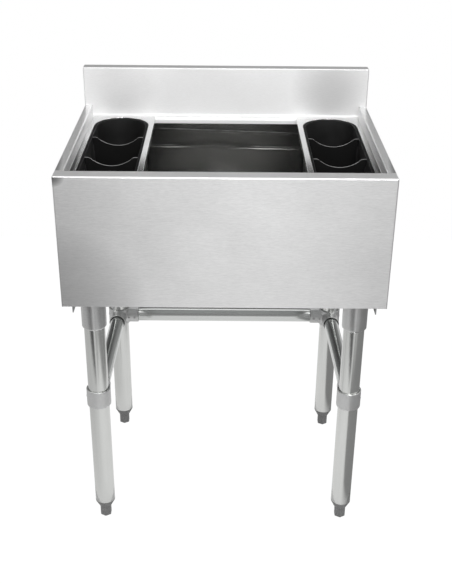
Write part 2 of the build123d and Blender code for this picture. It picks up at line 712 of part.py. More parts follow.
for side, hand in sides:
    mid_x = hand * (plate_x_in + plate_half)
    with BuildPart() as holder_plate:
        with BuildSketch(Plane.XY.offset(ledge_top)):
            with Locations((mid_x, plate_mid_y)):
                Rectangle(holder_width, plate_length)
        extrude(amount=sheet)
        add(slot(mid_x, joggle_radius + sheet, shelf_top - sheet, ledge_top + sheet))
        add(slot(mid_x, joggle_radius, shelf_top, ledge_top + sheet), mode=Mode.SUBTRACT)
        add(slot(mid_x, shelf_radius, shelf_top - sheet, shelf_top), mode=Mode.SUBTRACT)
        plate_face = holder_plate.faces().filter_by(Axis.Z).sort_by(Axis.Z)[-1]
        fillet(plate_face.inner_wires()[0].edges(), cutout_round)
        # Stiffening flange, turned down along the inner edge between the ledges.
        flange_length = ledge_back_y - ledge_front_y - 2 * holder_flange_gap
        with BuildSketch(Plane.XY.offset(ledge_top)):
            with Locations((hand * (plate_x_in + sheet / 2), (ledge_front_y + ledge_back_y) / 2)):
                Rectangle(sheet, flange_length)
        extrude(amount=sheet - holder_flange)
    finish(holder_plate, f"{side}_holder_plate")

    inner_radius = tub_radius - tub_wall
    tub_floor = tub_bottom + tub_wall
    with BuildPart() as tub_solid:
        add(slot(mid_x, tub_radius, tub_bottom, shelf_top, tub_draft))
        fillet(tub_solid.faces().sort_by(Axis.Z)[0].edges(), tub_foot)
        add(slot(mid_x, joggle_radius - tub_play, shelf_top, rim_top))

    with BuildPart() as tub_void:
        add(slot(mid_x, inner_radius, tub_floor, rim_top, tub_draft))
        fillet(tub_void.faces().sort_by(Axis.Z)[0].edges(), tub_foot - tub_wall)

    with BuildPart() as rib_void:
        add(slot(mid_x, inner_radius - rib_reach, tub_floor, rim_top, tub_draft))
        fillet(rib_void.faces().sort_by(Axis.Z)[0].edges(), tub_foot - tub_wall)

    # A pair of upright ribs on each long wall holds each divider.
    rib_offset = divider_thickness / 2 + divider_play + rib_thickness / 2
    with BuildPart() as guide_ribs:
        add(tub_solid.part)
        with BuildSketch(Plane.XY.offset(tub_bottom)):
            with Locations((mid_x, plate_mid_y)):
                with GridLocations(0, divider_spread, 1, 2):
                    with GridLocations(0, 2 * rib_offset, 1, 2):
                        Rectangle(holder_width, rib_thickness)
        extrude(amount=tub_depth - rib_drop, mode=Mode.INTERSECT)
        add(rib_void.part, mode=Mode.SUBTRACT)

    with BuildPart() as bottle_tub:
        add(tub_solid.part)
        add(tub_void.part, mode=Mode.SUBTRACT)
        add(guide_ribs.part)
    finish(bottle_tub, f"{side}_bottle_tub")

    # Dividers: flat, drafted like the tub, with a scooped top between two tabs.
    divider_top = rim_top - divider_drop
    divider_low = tub_floor + divider_seat
    lean = tan(radians(tub_draft))
    half_top = inner_radius - divider_play - divider_drop * lean
    half_low = inner_radius - divider_play - (rim_top - divider_low) * lean
    half_chord = half_top - divider_tab
    scoop_radius = (half_chord**2 + scoop_depth**2) / (2 * scoop_depth)
    for end, end_sign in (("front", -1), ("rear", 1)):
        divider_y = plate_mid_y + end_sign * divider_spread / 2
        with BuildPart() as divider:
            with BuildSketch(Plane.XZ.offset(-divider_y)) as outline:
                with BuildLine():
                    Polyline(
                        (mid_x - half_top, divider_top), (mid_x + half_top, divider_top),
                        (mid_x + half_low, divider_low), (mid_x - half_low, divider_low), close=True,
                    )
                make_face()
                fillet(outline.vertices().group_by(Axis.Y)[0], tub_foot)
                with Locations((mid_x, divider_top + scoop_radius - scoop_depth)):
                    Circle(scoop_radius, mode=Mode.SUBTRACT)
                scoop_ends = outline.vertices().group_by(Axis.Y)[-1].sort_by(Axis.X)[1:-1]
                fillet(scoop_ends, scoop_ease)
            extrude(amount=divider_thickness / 2, both=True)
        finish(divider, f"{side}_{end}_divider")
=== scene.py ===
import math

import bmesh
import bpy
import numpy as np
from mathutils import Matrix, Vector


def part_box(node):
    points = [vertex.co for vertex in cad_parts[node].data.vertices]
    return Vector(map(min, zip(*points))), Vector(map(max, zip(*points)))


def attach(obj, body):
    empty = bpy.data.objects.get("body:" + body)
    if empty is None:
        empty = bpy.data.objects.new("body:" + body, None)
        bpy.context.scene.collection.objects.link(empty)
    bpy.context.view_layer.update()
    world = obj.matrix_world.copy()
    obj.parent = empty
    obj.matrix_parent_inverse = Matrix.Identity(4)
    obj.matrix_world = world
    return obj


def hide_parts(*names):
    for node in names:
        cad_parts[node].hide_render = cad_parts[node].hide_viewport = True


# Underbar ice bin with two bottle holders. Sizes in this script are millimetres, turned into metres
# when a mesh is made. Places come from the frame's own boxes.
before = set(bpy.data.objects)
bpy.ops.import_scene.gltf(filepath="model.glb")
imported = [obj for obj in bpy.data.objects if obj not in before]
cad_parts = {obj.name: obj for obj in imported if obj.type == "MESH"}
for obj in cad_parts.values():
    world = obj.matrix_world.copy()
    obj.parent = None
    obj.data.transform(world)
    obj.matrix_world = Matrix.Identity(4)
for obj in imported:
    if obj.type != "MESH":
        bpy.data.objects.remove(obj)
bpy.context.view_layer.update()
mm = 0.001
print("frame loaded:", len(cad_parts), "nodes")

sheet = 1.2  # thickness of all the sheet metal
bend = 3.0  # outside radius of a visible fold
sides = (("left", -1), ("right", 1))
ends = (("front", -1), ("rear", 1))


def span(name):
    # Lowest and highest corner of a node, in millimetres.
    low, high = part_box(name)
    return np.array(low) / mm, np.array(high) / mm


def middleOf(name):
    # The middle of a node's box.
    low, high = span(name)
    return (low + high) / 2


def newObject(name, data):
    piece = bpy.data.objects.new(name, data)
    bpy.context.scene.collection.objects.link(piece)
    return piece


# Camera, fitted to the photograph

view = {
    "place": (-1.8, -1799.2, 1378.45),
    "down": 27.17,  # degrees below the horizon
    "turn": 0.16,  # degrees to the right
    "roll": 0.49,
    "focal": 946.99,  # in pixels of the photograph
    "tall": 584,
    "sensor": 36,
    "clip": (0.05, 50),  # nearest and furthest that it sees, in metres
}


def addCamera():
    camera = bpy.data.cameras.new("camera")
    camera.sensor_fit = "VERTICAL"
    camera.sensor_height = camera.sensor_width = view["sensor"]
    camera.lens = view["sensor"] * view["focal"] / view["tall"]
    camera.clip_start, camera.clip_end = view["clip"]
    holder = newObject("camera", camera)
    down, turn, roll = (math.radians(view[key]) for key in ("down", "turn", "roll"))
    forward = Vector((math.sin(turn) * math.cos(down), math.cos(turn) * math.cos(down), -math.sin(down)))
    level = Vector((math.cos(turn), -math.sin(turn), 0))
    right = level * math.cos(roll) + level.cross(forward) * math.sin(roll)
    axes = Matrix((right, right.cross(forward), -forward)).transposed().to_4x4()
    holder.matrix_world = Matrix.Translation(Vector(view["place"]) * mm) @ axes
    bpy.context.scene.camera = holder


addCamera()

# Mesh helpers


def gridMesh(name, grid, loopAround=True):
    # A grid of points, rows by columns, as quads. Columns close on themselves where loopAround is set.
    rows, columns = grid.shape[:2]
    index = np.arange(rows * columns).reshape(rows, columns)
    follow = np.roll(index, -1, axis=1) if loopAround else index[:, 1:]
    here = index if loopAround else index[:, :-1]
    quads = np.stack([here[:-1], follow[:-1], follow[1:], here[1:]], axis=-1).reshape(-1, 4)
    return quadMesh(name, grid.reshape(-1, 3), quads)


def quadMesh(name, points, quads):
    # Points in millimetres and quads by index, written in whole arrays.
    mesh = bpy.data.meshes.new(name)
    mesh.vertices.add(len(points))
    mesh.vertices.foreach_set("co", (np.asarray(points, float) * mm).ravel())
    mesh.loops.add(quads.size)
    mesh.loops.foreach_set("vertex_index", np.ascontiguousarray(quads, dtype=np.int32).ravel())
    mesh.polygons.add(len(quads))
    mesh.polygons.foreach_set("loop_start", np.arange(0, quads.size, 4, dtype=np.int32))
    mesh.update(calc_edges=True)
    mesh.validate()
    return mesh


def cleanMesh(mesh, merge=0.02, fill=False):
    # Merge what lies this close together, close open ends where asked, and turn all faces outward.
    work = bmesh.new()
    work.from_mesh(mesh)
    if merge:
        bmesh.ops.remove_doubles(work, verts=work.verts, dist=merge * mm)
    if fill:
        bmesh.ops.holes_fill(work, edges=work.edges)
    bmesh.ops.recalc_face_normals(work, faces=work.faces)
    work.to_mesh(mesh)
    work.free()
    return mesh


def joinMeshes(name, meshes):
    # Several meshes as the shells of one.
    points, faces, start = [], [], 0
    for mesh in meshes:
        co = np.zeros(len(mesh.vertices) * 3)
        mesh.vertices.foreach_get("co", co)
        points.append(co.reshape(-1, 3))
        faces += [tuple(i + start for i in face.vertices) for face in mesh.polygons]
        start += len(mesh.vertices)
    joined = bpy.data.meshes.new(name)
    joined.from_pydata(np.concatenate(points).tolist(), [], faces)
    return joined


def smooth(piece, angle=40):
    # Soft shading, kept sharp where faces meet at more than the angle.
    piece.data.shade_smooth()
    piece.data.set_sharp_from_angle(angle=math.radians(angle))
    return piece


def baked(piece):
    # The piece's mesh with its modifiers applied.
    bpy.context.view_layer.update()
    held = piece.evaluated_get(bpy.context.evaluated_depsgraph_get())
    mesh = bpy.data.meshes.new_from_object(held)
    piece.modifiers.clear()
    piece.data = mesh
    return piece


def thicken(piece, thickness=sheet, angle=35):
    # A surface gets its thickness inward, and normals that follow its large flat faces, so that only
    # the bends shade round.
    solid = piece.modifiers.new("sheet", "SOLIDIFY")
    solid.thickness = thickness * mm
    solid.offset = -1
    solid.use_even_offset = True
    smooth(baked(piece), angle)
    normals = piece.modifiers.new("normals", "WEIGHTED_NORMAL")
    normals.keep_sharp = True
    normals.weight = 100
    return baked(piece)


def place(piece, body, nodes, material):
    # Put a finished piece on its body, in the place of its nodes.
    piece.data.materials.clear()
    piece.data.materials.append(material)
    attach(piece, body)
    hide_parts(*nodes)
    return piece


def finishSide(piece, material, toward, least):
    # A second finish on the faces whose normal goes at least this far toward a direction.
    faces = piece.data.polygons
    piece.data.materials.append(material)
    normals, slots = np.zeros(len(faces) * 3), np.zeros(len(faces), np.int32)
    faces.foreach_get("normal", normals)
    faces.foreach_get("material_index", slots)
    slots[normals.reshape(-1, 3) @ np.array(toward, float) > least] = len(piece.data.materials) - 1
    faces.foreach_set("material_index", slots)


def turned(name, profile, steps=96):
    # A surface of revolution about +Z: each profile point (radius, height) goes round in equal steps.
    angle = np.linspace(0, 2 * np.pi, steps, endpoint=False)
    radius, height = np.array(profile, float).T
    grid = np.stack([
        radius[:, None] * np.cos(angle), radius[:, None] * np.sin(angle),
        np.broadcast_to(height[:, None], (len(radius), steps)),
    ], axis=-1)
    return cleanMesh(gridMesh(name, grid))


def aimed(mesh, centre, direction):
    # Turn a mesh made about +Z to the given direction and move it to its centre.
    turn = Vector((0, 0, 1)).rotation_difference(Vector(direction)).to_matrix().to_4x4()
    mesh.transform(Matrix.Translation(Vector(centre) * mm) @ turn)
    return mesh


def arc(centre, radius, start, stop, steps=6):
    # Points on a circle in the profile's plane, from one angle to another in degrees.
    angle = np.radians(np.linspace(start, stop, steps + 1))
    return [(centre[0] + radius * math.cos(a), centre[1] + radius * math.sin(a)) for a in angle]


def foldedSheet(name, corners, faces, folds, thickness=sheet):
    # Sheet metal from its flat outer faces: folds maps a pair of corners to the outside radius there.
    # The bend rounds each fold, then the sheet gets its thickness inward.
    mesh = bpy.data.meshes.new(name)
    mesh.from_pydata((np.array(corners, float) * mm).tolist(), [], faces)
    widest = max(folds.values())
    weights = mesh.attributes.new("bevel_weight_edge", "FLOAT", "EDGE")
    wanted = {tuple(sorted(pair)): radius for pair, radius in folds.items()}
    for edge in mesh.edges:
        weights.data[edge.index].value = wanted.get(tuple(sorted(edge.vertices)), 0) / widest
    piece = newObject(name, mesh)
    rounding = piece.modifiers.new("folds", "BEVEL")
    rounding.limit_method = "WEIGHT"
    rounding.width = widest * mm
    rounding.segments = 6
    rounding.use_clamp_overlap = False
    return thicken(piece, thickness)


# Materials


def startMaterial(name):
    material = bpy.data.materials.new(name)
    material.use_nodes = True
    tree = material.node_tree
    return material, tree, tree.nodes["Principled BSDF"]


def addNode(tree, kind, inputs=(), **settings):
    # A node with its settings and its inputs: a socket is linked, anything else is a value.
    node = tree.nodes.new(kind)
    for key, value in settings.items():
        setattr(node, key, value)
    for key, value in dict(inputs).items():
        if isinstance(value, bpy.types.NodeSocket):
            tree.links.new(value, node.inputs[key])
        else:
            node.inputs[key].default_value = value
    return node


def objectNoise(tree, scale, stretch=(1, 1, 1), detail=3.0, roughness=0.5):
    # Noise in the object's own metres: scale is in cycles per metre, stretch lengthens it along an axis.
    coordinates = addNode(tree, "ShaderNodeTexCoord").outputs["Object"]
    mapped = addNode(tree, "ShaderNodeMapping", {
        "Vector": coordinates, "Scale": [scale / s for s in stretch],
    }).outputs["Vector"]
    return addNode(tree, "ShaderNodeTexNoise", {
        "Vector": mapped, "Scale": 1.0, "Detail": detail, "Roughness": roughness,
    }).outputs["Fac"]


def addMath(tree, operation, *values):
    return addNode(tree, "ShaderNodeMath", dict(enumerate(values)), operation=operation).outputs[0]


def addVector(tree, operation, first, second):
    return addNode(tree, "ShaderNodeVectorMath", {0: first, 1: second}, operation=operation).outputs


def mapRange(tree, value, low, high, fromLow=0.0, fromHigh=1.0):
    # The value, carried from one span to another and kept inside it.
    return addNode(tree, "ShaderNodeMapRange", {
        "Value": value, "From Min": fromLow, "From Max": fromHigh, "To Min": low, "To Max": high,
    }).outputs["Result"]


def mixColor(tree, factor, first, second):
    mixer = tree.nodes.new("ShaderNodeMix")
    mixer.data_type = "RGBA"
    for socket, value in ((mixer.inputs[0], factor), (mixer.inputs[6], first), (mixer.inputs[7], second)):
        if isinstance(value, bpy.types.NodeSocket):
            tree.links.new(value, socket)
        else:
            socket.default_value = value
    return mixer.outputs[2]


def grey(value, tint=(1, 1, 1)):
    return (value * tint[0], value * tint[1], value * tint[2], 1)


def dress(tree, shader, colour, roughness, height, strength, deep, metallic=0.0):
    # Link a finish to its shader: colour, roughness and a bump, whose depth is in metres.
    bump = addNode(tree, "ShaderNodeBump", {"Height": height, "Strength": strength, "Distance": deep})
    tree.links.new(colour, shader.inputs["Base Color"])
    tree.links.new(roughness, shader.inputs["Roughness"])
    tree.links.new(bump.outputs["Normal"], shader.inputs["Normal"])
    shader.inputs["Metallic"].default_value = metallic


brushed = {
    "stretch": 18.0,  # how much longer than wide a scratch is
    "fine": 2100, "broad": 500, "clouds": 9,  # cycles per metre
    "share": 0.15,  # of the broad scratches against the fine ones
    "streaks": (0.33, 0.83),  # span of the scratches' noise
    "deep": 0.00005,
    "darkest": 0.05,  # what a painted dark reflection leaves of the tone at most
}


def brushedSteel(name, along, tone, rough, anisotropy, metallic, grain, cloud=0.03, depth=0.15, paintedReflections=()):
    # Brushed stainless: short fine scratches along one axis in colour, roughness and bump, over soft
    # clouds of tone from handling. The highlight spreads across the scratches.
    a = brushed
    material, tree, shader = startMaterial(name)
    stretch = [a["stretch"] if axis == along else 1.0 for axis in "XYZ"]
    fine = objectNoise(tree, a["fine"], stretch, 3.0, 0.65)
    broad = objectNoise(tree, a["broad"], stretch, 2.0)
    clouds = objectNoise(tree, a["clouds"], detail=4.0)
    streak = addMath(tree, "MULTIPLY_ADD", broad, a["share"], fine)
    light = mapRange(tree, streak, tone * (1 - grain), tone * (1 + grain), *a["streaks"])
    level = addMath(tree, "MULTIPLY", light, mapRange(tree, clouds, 1 - cloud, 1 + cloud, 0.35, 0.65))
    # Painted dark reflections: each a soft ellipsoid in the object's space, dimming the colour by a share
    # that fades with the square of the distance from its middle.
    spot = addNode(tree, "ShaderNodeTexCoord").outputs["Object"]
    for middle, radii, share in paintedReflections:
        moved = addVector(tree, "SUBTRACT", spot, Vector(middle) * mm)[0]
        scaled = addVector(tree, "DIVIDE", moved, Vector(radii) * mm)[0]
        square = addVector(tree, "DOT_PRODUCT", scaled, scaled)["Value"]
        dim = addMath(tree, "MAXIMUM", mapRange(tree, square, 1 - share, 1), a["darkest"])
        level = addMath(tree, "MULTIPLY", level, dim)
    colour = addNode(tree, "ShaderNodeCombineColor", {"Red": level, "Green": level, "Blue": level})
    roughness = mapRange(tree, streak, rough * 0.85, rough * 1.15, *a["streaks"])
    dress(tree, shader, colour.outputs["Color"], roughness, streak, depth, a["deep"], metallic)
    across = addNode(tree, "ShaderNodeTangent", direction_type="RADIAL", axis=along)
    tree.links.new(across.outputs["Tangent"], shader.inputs["Tangent"])
    shader.inputs["Anisotropic"].default_value = anisotropy
    return material


def plainMetal(name, tone, rough, tint=(1, 1, 1), speck=0.03, speckScale=900, stretch=(1, 1, 1),
               wave=0.0, waveScale=30):
    # Smooth metal: faint specks in the finish and, where asked, slow waves in the surface.
    material, tree, shader = startMaterial(name)
    specks = objectNoise(tree, speckScale, stretch)
    mixed = addMath(tree, "ADD", specks, objectNoise(tree, 12))
    colour = mixColor(tree, mapRange(tree, mixed, 0, 1, 0.7, 1.3),
                      grey(tone * (1 - speck), tint), grey(tone * (1 + speck), tint))
    roughness = mapRange(tree, mixed, rough * 0.85, rough * 1.15, 0.7, 1.3)
    waves = objectNoise(tree, waveScale, detail=1.0)
    height = addMath(tree, "MULTIPLY_ADD", waves, wave, addMath(tree, "MULTIPLY", specks, 0.005))
    dress(tree, shader, colour, roughness, height, 0.5, 0.001, 1)
    return material


def castMetal(name, tone, rough, metallic, pitted):
    # Sand-cast alloy, tumbled: pitted skin, brighter on the high spots.
    material, tree, shader = startMaterial(name)
    pits = objectNoise(tree, 700, detail=4.0, roughness=0.65)
    blotches = objectNoise(tree, 60)
    colour = mixColor(
        tree, mapRange(tree, pits, 0, 1, 0.3, 0.7), grey(tone * 0.86), grey(tone * 1.1, (1, 1, 0.99)))
    colour = mixColor(
        tree, mapRange(tree, blotches, 0, 0.5, 0.35, 0.7), colour, grey(tone * 1.08, (0.98, 1, 1)))
    roughness = mapRange(tree, pits, rough * 1.2, rough * 0.85, 0.3, 0.7)
    dress(tree, shader, colour, roughness, pits, pitted, 0.0004, metallic)
    return material


def mouldedPlastic(name, tone, rough, grain=0.25, grainScale=2200, tint=(1, 1, 1), specular=0.5):
    # Moulded plastic: a fine even texture from the tool, with slow changes of sheen.
    material, tree, shader = startMaterial(name)
    texture = objectNoise(tree, grainScale, detail=2.0)
    sheen = objectNoise(tree, 25)
    colour = mixColor(
        tree, mapRange(tree, sheen, 0, 1, 0.3, 0.7), grey(tone * 0.88, tint), grey(tone * 1.12, tint))
    roughness = mapRange(tree, sheen, rough * 0.85, rough * 1.2, 0.3, 0.7)
    dress(tree, shader, colour, roughness, texture, grain, 0.00012)
    shader.inputs["Specular IOR Level"].default_value = specular
    return material


# Painted dark reflections: middle, radii and share of each, for the dark things that the real steel mirrors.
paintedReflectionSpots = {
    "panel": [((-330, -235, 545), (190, 60, 170), 0.36), ((-306, -235, 799), (24, 30, 20), 0.75)],
    "sideRim": [((hand * 310, -230, 800), (17, 130, 40), 0.8) for _, hand in sides],
    "splash": [((240, 209.5, 826), (105, 30, 110), 0.3), ((-250, 209.5, 812), (115, 30, 100), 0.14)],
    "plates": [((-286, -200, 778), (7.5, 280, 20), 1.25), ((286.5, -200, 778), (9, 340, 20), 0.9)],
}
panelSteel = brushedSteel("panelSteel", "X", tone=0.8, rough=0.36, anisotropy=0.8, metallic=0.85, grain=0.12,
                          paintedReflections=paintedReflectionSpots["panel"])
rimSteel = brushedSteel("rimSteel", "X", tone=0.8, rough=0.34, anisotropy=0.4, metallic=0.7, grain=0.04)
sideSteel = brushedSteel("sideSteel", "Y", tone=0.76, rough=0.3, anisotropy=0.3, metallic=0.9, grain=0.02,
                         cloud=0.02, depth=0.01)
sideRimSteel = brushedSteel("sideRimSteel", "Y", tone=0.84, rough=0.3, anisotropy=0.3, metallic=0.65,
                            grain=0.02, cloud=0.02, depth=0.01, paintedReflections=paintedReflectionSpots["sideRim"])
splashSteel = brushedSteel(
    "splashSteel", "X", tone=0.96, rough=0.5, anisotropy=0.5, metallic=0.22, grain=0.07,
    paintedReflections=paintedReflectionSpots["splash"])
brightSteel = brushedSteel(
    "brightSteel", "Y", tone=0.74, rough=0.18, anisotropy=0.3, metallic=1.0, grain=0.03, cloud=0.02,
    depth=0.03, paintedReflections=paintedReflectionSpots["plates"])
# The liner's steel is darker than the rest: painted shade for the dark inside of the tank that it mirrors.
linerSteel = plainMetal("linerSteel", tone=0.42, rough=0.2, tint=(1, 1, 0.98), speck=0.1, speckScale=1500,
                        stretch=(26, 1, 1), wave=0.3, waveScale=7)
tubeSteel = plainMetal("tubeSteel", tone=0.73, rough=0.19, tint=(0.99, 1, 0.98), speck=0.035, speckScale=600,
                       stretch=(1, 1, 60))
flatTubeSteel = plainMetal(
    "flatTubeSteel", tone=0.7, rough=0.2, tint=(0.98, 1, 0.985), speck=0.02, speckScale=500)
galvanised = plainMetal("galvanised", tone=0.55, rough=0.4, tint=(0.98, 1, 1), speck=0.12, speckScale=220)
fastenerSteel = plainMetal("fastenerSteel", tone=0.5, rough=0.28)
castAlloy = castMetal("castAlloy", tone=0.62, rough=0.38, metallic=0.85, pitted=0.35)
socketAlloy = castMetal("socketAlloy", tone=0.68, rough=0.3, metallic=1.0, pitted=0.15)
blackPlastic = mouldedPlastic("blackPlastic", tone=0.008, rough=0.5, grain=0.2)
mattPlastic = mouldedPlastic("mattPlastic", tone=0.007, rough=0.6, grain=0.3, specular=0.06)
# A paler plastic for the dividers' upward-facing edges: a painted highlight.
edgeHighlightPlastic = mouldedPlastic("edgeHighlightPlastic", tone=0.34, rough=0.35, grain=0.3, grainScale=900)
footPlastic = mouldedPlastic("footPlastic", tone=0.15, rough=0.5, grain=0.3, grainScale=900)
insertPlastic = mouldedPlastic("insertPlastic", tone=0.05, rough=0.5)
drainPlastic = mouldedPlastic("drainPlastic", tone=0.7, rough=0.4)
gasketRubber = mouldedPlastic("gasketRubber", tone=0.03, rough=0.7)
foamMaterial = mouldedPlastic(
    "foamMaterial", tone=0.7, rough=0.9, grain=1.0, grainScale=500, tint=(1, 0.9, 0.62))
print("materials made")

# Apron: front panel and side panels

panelLow, panelHigh = span("front_panel")
sideLow, sideHigh = span("right_side_panel")
splashLow, splashHigh = span("backsplash")
ledgeLow, ledgeHigh = span("ledge_frame")
splashFace = splashHigh[1] - 25.5  # the backsplash is this deep
apron = {
    "half": panelHigh[0],
    "front": panelLow[1],
    "mouthY": panelHigh[1],
    "mouthX": sideLow[0],
    "rim": panelHigh[2],
    "foot": panelLow[2],
    "ledge": ledgeHigh[2],
    "seam": sideHigh[1],
    "hem": 8.0,
    "hemFold": 1.0,
    "hemThick": 2 * sheet,
    "notch": bend + 1,  # how far the front's hems stop short of each corner
    "rimBack": splashFace + sheet,
}


def frontPanel():
    a = apron
    w, m, f, y = a["half"], a["mouthX"], a["front"], a["mouthY"]
    top, low, hem = a["rim"], a["foot"], a["foot"] + a["hem"]
    n, t = a["hemThick"], a["notch"]
    corners = [
        (-w, f, low), (w, f, low), (w, f, top), (-w, f, top),
        (-w, y, low), (-w, y, top), (w, y, low), (w, y, top),
        (-m, y, top), (m, y, top), (m, y, a["ledge"]), (-m, y, a["ledge"]),
        (-w + t, f, low), (w - t, f, low), (-w + t, f + n, low), (w - t, f + n, low),
        (-w + t, f + n, hem), (w - t, f + n, hem),
        (-w, f + t, low), (-w + n, f + t, low), (-w + n, y, low), (-w + n, f + t, hem), (-w + n, y, hem),
        (w, f + t, low), (w - n, f + t, low), (w - n, y, low), (w - n, f + t, hem), (w - n, y, hem),
    ]
    faces = [
        (0, 12, 13, 1, 2, 3), (4, 18, 0, 3, 5), (1, 23, 6, 7, 2), (3, 2, 7, 9, 8, 5), (8, 9, 10, 11),
        (13, 12, 14, 15), (15, 14, 16, 17), (18, 4, 20, 19), (19, 20, 22, 21),
        (6, 23, 24, 25), (25, 24, 26, 27),
    ]
    folds = dict.fromkeys([(0, 3), (1, 2), (2, 3), (3, 5), (2, 7), (8, 9)], bend)
    folds.update(dict.fromkeys([(12, 13), (14, 15), (4, 18), (19, 20), (6, 23), (24, 25)], a["hemFold"]))
    piece = foldedSheet("front_panel_skin", corners, faces, folds)
    place(piece, "bin", ["front_panel"], panelSteel)
    finishSide(piece, rimSteel, (0, 0, 1), 0.6)


def sidePanel(side, hand):
    a = apron
    w, m, y, back = a["half"], a["mouthX"], a["mouthY"], a["rimBack"]
    top, low, hem = a["rim"], a["foot"], a["foot"] + a["hem"]
    n = a["hemThick"]
    corners = [
        (w, y, low), (w, a["seam"], low), (w, a["seam"], top), (w, back, top), (w, y, top),
        (m, y, top), (m, back, top), (m, back, a["ledge"]), (m, y, a["ledge"]),
        (w - n, y, low), (w - n, a["seam"], low), (w - n, a["seam"], hem), (w - n, y, hem),
    ]
    corners = [(hand * x, yy, z) for x, yy, z in corners]
    faces = [(0, 1, 2, 3, 4), (4, 3, 6, 5), (5, 6, 7, 8), (1, 0, 9, 10), (10, 9, 12, 11)]
    if hand < 0:
        faces = [face[::-1] for face in faces]
    folds = {(3, 4): bend, (5, 6): bend, (0, 1): a["hemFold"], (9, 10): a["hemFold"]}
    piece = foldedSheet(side + "_side_skin", corners, faces, folds)
    place(piece, "bin", [side + "_side_panel"], sideSteel)
    finishSide(piece, sideRimSteel, (-hand, 0, 0), -0.4)  # all but its outer side


frontPanel()
for side, hand in sides:
    sidePanel(side, hand)

# Backsplash: hollow box whose back is the rear skin, coved at the foot of its face

splash = {"face": splashFace, "toe": ledgeHigh[1], "lap": 0.1, "round": 2.5, "cove": 6.0}


def backsplash():
    a, b = apron, splash
    w, m, back, top, toe = a["half"], a["mouthX"], splashHigh[1], splashHigh[2], b["toe"] - b["lap"]
    rim, low, ledge, seam, face = a["rim"], splashLow[2], a["ledge"], a["seam"], b["face"]
    corners = [
        (-w, face, rim), (-m, face, rim), (-m, face, ledge), (m, face, ledge), (m, face, rim), (w, face, rim),
        (w, face, top), (-w, face, top), (w, back, top), (-w, back, top), (-w, back, low), (w, back, low),
        (w, seam, low), (w, seam, rim), (-w, seam, low), (-w, seam, rim),
        (-m, toe, ledge), (m, toe, ledge),
    ]
    faces = [
        (0, 1, 2, 3, 4, 5, 6, 7), (7, 6, 8, 9), (11, 10, 9, 8), (5, 13, 12, 11, 8, 6),
        (15, 0, 7, 9, 10, 14), (2, 16, 17, 3),
    ]
    folds = dict.fromkeys([(6, 7), (6, 8), (8, 9), (7, 9), (5, 6), (0, 7), (8, 11), (9, 10)], b["round"])
    folds[2, 3] = b["cove"]
    piece = foldedSheet("backsplash_skin", corners, faces, folds)
    place(piece, "bin", ["backsplash"], splashSteel)
    finishSide(piece, rimSteel, (0, 1, 0), -0.8)  # all but its face
    for _, hand in sides:
        finishSide(piece, sideSteel, (hand, 0, 0), 0.5)


backsplash()

# Ledge frame, holder plates and tank: rings of points from one outline to the next


def stadium(radius, half, arcSteps=32, runSteps=8):
    # Points and outward normals of a stadium whose long axis is Y: two half circles of the given radius
    # about (0, half) and (0, -half), and the straight runs between them.
    rise = np.linspace(0, np.pi, arcSteps + 1)
    upper = np.stack([np.cos(rise), np.sin(rise)], -1)
    run = np.linspace(half, -half, runSteps + 1)[1:-1]
    normals = [upper, np.tile([-1.0, 0.0], (len(run), 1)), -upper, np.tile([1.0, 0.0], (len(run), 1))]
    centres = [
        np.tile([0.0, half], (len(upper), 1)), np.stack([0 * run, run], -1),
        np.tile([0.0, -half], (len(upper), 1)), np.stack([0 * run, -run], -1),
    ]
    centres, normals = np.concatenate(centres), np.concatenate(normals)
    return centres + radius * normals, centres, normals


def toRectangle(centres, normals, halfX, lowY, highY):
    # Where a ray from each centre along its normal meets the rectangle.
    dx, dy = normals.T
    cy = centres[:, 1]
    with np.errstate(divide="ignore", invalid="ignore"):
        reachX = np.where(np.abs(dx) > 1e-9, halfX / np.abs(dx), np.inf)
        reachY = np.where(dy > 1e-9, (highY - cy) / dy, np.where(dy < -1e-9, (lowY - cy) / dy, np.inf))
    return centres + normals * np.minimum(reachX, reachY)[:, None]


def rings(levels, moved=(0, 0)):
    # Stack outlines, each a set of plane points with its height, into a grid about a point.
    grid = np.stack([np.column_stack([points, np.full(len(points), height)]) for points, height in levels])
    return grid + np.array([moved[0], moved[1], 0.0])


def ringSheet(name, levels, moved=(0, 0), angle=35, shape=None):
    # A sheet between outlines, thickened inward. A shape may move its points before that.
    grid = rings(levels, moved)
    if shape:
        grid = shape(grid)
    return thicken(newObject(name, gridMesh(name, grid)), angle=angle)


def roundedRectangle(halfX, lowY, highY, corner, arcSteps=10, runSteps=10):
    # Points of a rounded rectangle with, for each, the corner centre or foot point it springs from.
    centres, normals = [], []
    innerX, top, foot = halfX - corner, highY - corner, lowY + corner
    spots = [(innerX, top, 0), (-innerX, top, 90), (-innerX, foot, 180), (innerX, foot, 270)]
    for number, (x, y, start) in enumerate(spots):
        turn = np.radians(start + np.linspace(0, 90, arcSteps + 1))
        normal = np.stack([np.cos(turn), np.sin(turn)], -1)
        centres.append(np.tile([x, y], (len(turn), 1)))
        normals.append(normal)
        nextX, nextY, _ = spots[(number + 1) % 4]
        share = np.linspace(0, 1, runSteps + 1)[1:-1, None]
        centres.append(np.array([x, y]) * (1 - share) + np.array([nextX, nextY]) * share)
        normals.append(np.tile(normal[-1], (len(share), 1)))
    centres, normals = np.concatenate(centres), np.concatenate(normals)
    return centres + corner * normals, centres, normals


tankLow, tankHigh = span("ice_tank")
ledge = {
    "x": tankHigh[0] - 2 * sheet,
    "front": tankLow[1] + 2 * sheet,
    "back": tankHigh[1] - 2 * sheet,
    "corner": 12.0,
    "bend": 5.5,
    "hold": 0.6,  # a ring this far from a bend keeps its neighbour flat
    "top": ledgeHigh[2],
    "foot": ledgeLow[2],
}


